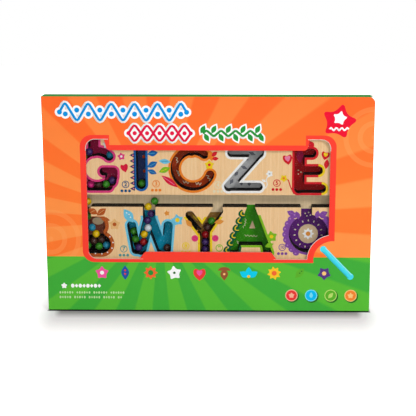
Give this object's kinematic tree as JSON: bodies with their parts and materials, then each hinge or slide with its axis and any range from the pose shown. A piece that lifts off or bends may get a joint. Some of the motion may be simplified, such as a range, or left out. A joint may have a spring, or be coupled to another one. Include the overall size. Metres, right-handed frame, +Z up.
{
  "type": "magnetic bead maze board",
  "caption": "Flat wooden board with letter-shaped grooves and coloured beads under a clear cover, with a magnet pen, in a printed card sleeve with a shaped window.",
  "frame": {"origin": "centre of the footprint, on the surface that the boxed board stands on", "axes": "+X to the right along the board's length, +Y from the window to the back, +Z up"},
  "size_m": [0.33, 0.0214, 0.22],
  "materials": {
    "carton_front_print": "printed, satin varnish",
    "carton_back_print": "printed, satin varnish",
    "carton_print": "printed, satin varnish",
    "base_wood": "bare plywood",
    "track_wood": "smooth, laser cut",
    "rail_wood": "smooth",
    "clear_plastic": "clear, glossy",
    "screw_steel": "zinc plated",
    "pen_plastic": "glossy",
    "pen_tip_plastic": "glossy",
    "magnet_metal": "nickel plated",
    "bead_brown": "glossy",
    "bead_green": "glossy",
    "bead_pink": "glossy",
    "bead_purple": "glossy",
    "bead_blue": "glossy",
    "bead_yellow": "glossy",
    "bead_red": "glossy",
    "bead_white": "glossy"
  },
  "bodies": {
    "sleeve": {"carton_front": "carton_front_print", "carton_back": "carton_back_print", "carton_top": "carton_print", "carton_bottom": "carton_print", "carton_glue_lap": "carton_print"},
    "board": {"base_board": "base_wood", "clear_cover": "clear_plastic", "cover_screws": "screw_steel", "frame_bottom_rail": "rail_wood", "frame_top_rail": "rail_wood", "frame_left_rail": "rail_wood", "frame_right_rail": "rail_wood", "upper_track_plate": "track_wood", "lower_track_plate": "track_wood", "bead_g_brown": "bead_brown", "bead_g_green": "bead_green", "bead_g_pink": "bead_pink", "bead_g_side_1": "bead_pink", "bead_g_side_2": "bead_purple", "bead_g_side_3": "bead_brown", "bead_g_side_4": "bead_green", "bead_b_green_corner": "bead_green", "bead_b_brown_low": "bead_brown", "bead_b_yellow": "bead_yellow", "bead_b_green": "bead_green", "bead_b_blue_low": "bead_blue", "bead_b_stem_1": "bead_purple", "bead_b_stem_2": "bead_green", "bead_b_stem_3": "bead_brown", "bead_w_purple_low": "bead_purple", "bead_w_red": "bead_red", "bead_w_yellow": "bead_yellow", "bead_w_white": "bead_white", "bead_w_purple_middle": "bead_purple", "bead_w_purple_high": "bead_purple"},
    "pen": {"pen_barrel": "pen_plastic", "pen_nose": "pen_tip_plastic", "pen_magnet": "magnet_metal", "pen_knob": "pen_plastic"},
    "bead_g_corner_purple_body": {"bead_g_corner_purple": "bead_purple"},
    "bead_g_blue_body": {"bead_g_blue": "bead_blue"},
    "bead_g_top_purple_body": {"bead_g_top_purple": "bead_purple"},
    "bead_i_green_body": {"bead_i_green": "bead_green"},
    "bead_b_blue_body": {"bead_b_blue": "bead_blue"},
    "bead_b_brown_body": {"bead_b_brown": "bead_brown"},
    "bead_b_mouth_yellow_body": {"bead_b_mouth_yellow": "bead_yellow"},
    "bead_w_arm_green_low_body": {"bead_w_arm_green_low": "bead_green"},
    "bead_w_arm_green_high_body": {"bead_w_arm_green_high": "bead_green"},
    "bead_w_brown_body": {"bead_w_brown": "bead_brown"},
    "bead_w_mouth_yellow_body": {"bead_w_mouth_yellow": "bead_yellow"},
    "bead_w_trough_green_body": {"bead_w_trough_green": "bead_green"},
    "bead_y_purple_low_body": {"bead_y_purple_low": "bead_purple"},
    "bead_y_purple_high_body": {"bead_y_purple_high": "bead_purple"},
    "bead_y_red_body": {"bead_y_red": "bead_red"},
    "bead_y_brown_body": {"bead_y_brown": "bead_brown"},
    "bead_y_green_body": {"bead_y_green": "bead_green"}
  },
  "joints": [
    {"name": "board_slide", "type": "slide", "parent": "sleeve", "child": "board", "axis": [1, 0, 0], "range_m": [0, 0.3]},
    {"name": "pen_slide", "type": "slide", "parent": "board", "child": "pen", "axis": [1, 0, 0], "range_m": [0, 0.132]},
    {"name": "i_green_roll", "type": "slide", "parent": "board", "child": "bead_i_green_body", "axis": [0, 0, 1], "range_m": [0, 0.0575]},
    {"name": "g_blue_roll", "type": "hinge", "parent": "board", "child": "bead_g_blue_body", "pos_m": [-0.11201, 0.00215, 0.1469], "axis": [0, -1, 0], "range_deg": [0, 23]},
    {"name": "g_top_purple_roll", "type": "hinge", "parent": "board", "child": "bead_g_top_purple_body", "pos_m": [-0.11201, 0.00215, 0.1469], "axis": [0, 1, 0], "range_deg": [0, 23]},
    {"name": "g_corner_purple_roll", "type": "slide", "parent": "board", "child": "bead_g_corner_purple_body", "axis": [0, 0, 1], "range_m": [0, 0.01]},
    {"name": "b_mouth_yellow_roll", "type": "slide", "parent": "board", "child": "bead_b_mouth_yellow_body", "axis": [0.9781, 0, 0.2079], "range_m": [0, 0.024]},
    {"name": "b_blue_roll", "type": "slide", "parent": "board", "child": "bead_b_blue_body", "axis": [0.8192, 0, 0.5736], "range_m": [0, 0.005]},
    {"name": "b_brown_roll", "type": "slide", "parent": "board", "child": "bead_b_brown_body", "axis": [0.788, 0, 0.6157], "range_m": [0, 0.004]},
    {"name": "w_trough_green_roll", "type": "slide", "parent": "board", "child": "bead_w_trough_green_body", "axis": [1, 0, 0], "range_m": [0, 0.045]},
    {"name": "w_mouth_yellow_roll", "type": "slide", "parent": "board", "child": "bead_w_mouth_yellow_body", "axis": [-0.2419, 0, 0.9703], "range_m": [0, 0.01]},
    {"name": "w_arm_green_low_roll", "type": "slide", "parent": "board", "child": "bead_w_arm_green_low_body", "axis": [-0.1611, 0, 0.9869], "range_m": [0, 0.004]},
    {"name": "w_arm_green_high_roll", "type": "slide", "parent": "bead_w_arm_green_low_body", "child": "bead_w_arm_green_high_body", "axis": [-0.1611, 0, 0.9869], "range_m": [0, 0.004]},
    {"name": "w_brown_roll", "type": "slide", "parent": "board", "child": "bead_w_brown_body", "axis": [0.0814, 0, 0.9967], "range_m": [0, 0.024]},
    {"name": "y_purple_low_roll", "type": "slide", "parent": "board", "child": "bead_y_purple_low_body", "axis": [0, 0, 1], "range_m": [0, 0.0015]},
    {"name": "y_purple_high_roll", "type": "slide", "parent": "bead_y_purple_low_body", "child": "bead_y_purple_high_body", "axis": [0, 0, 1], "range_m": [0, 0.0015]},
    {"name": "y_red_roll", "type": "slide", "parent": "bead_y_purple_high_body", "child": "bead_y_red_body", "axis": [0, 0, 1], "range_m": [0, 0.0015]},
    {"name": "y_brown_roll", "type": "slide", "parent": "bead_y_red_body", "child": "bead_y_brown_body", "axis": [0.5384, 0, 0.8427], "range_m": [0, 0.003]},
    {"name": "y_green_roll", "type": "slide", "parent": "bead_y_brown_body", "child": "bead_y_green_body", "axis": [0.5384, 0, 0.8427], "range_m": [0, 0.011]}
  ]
}
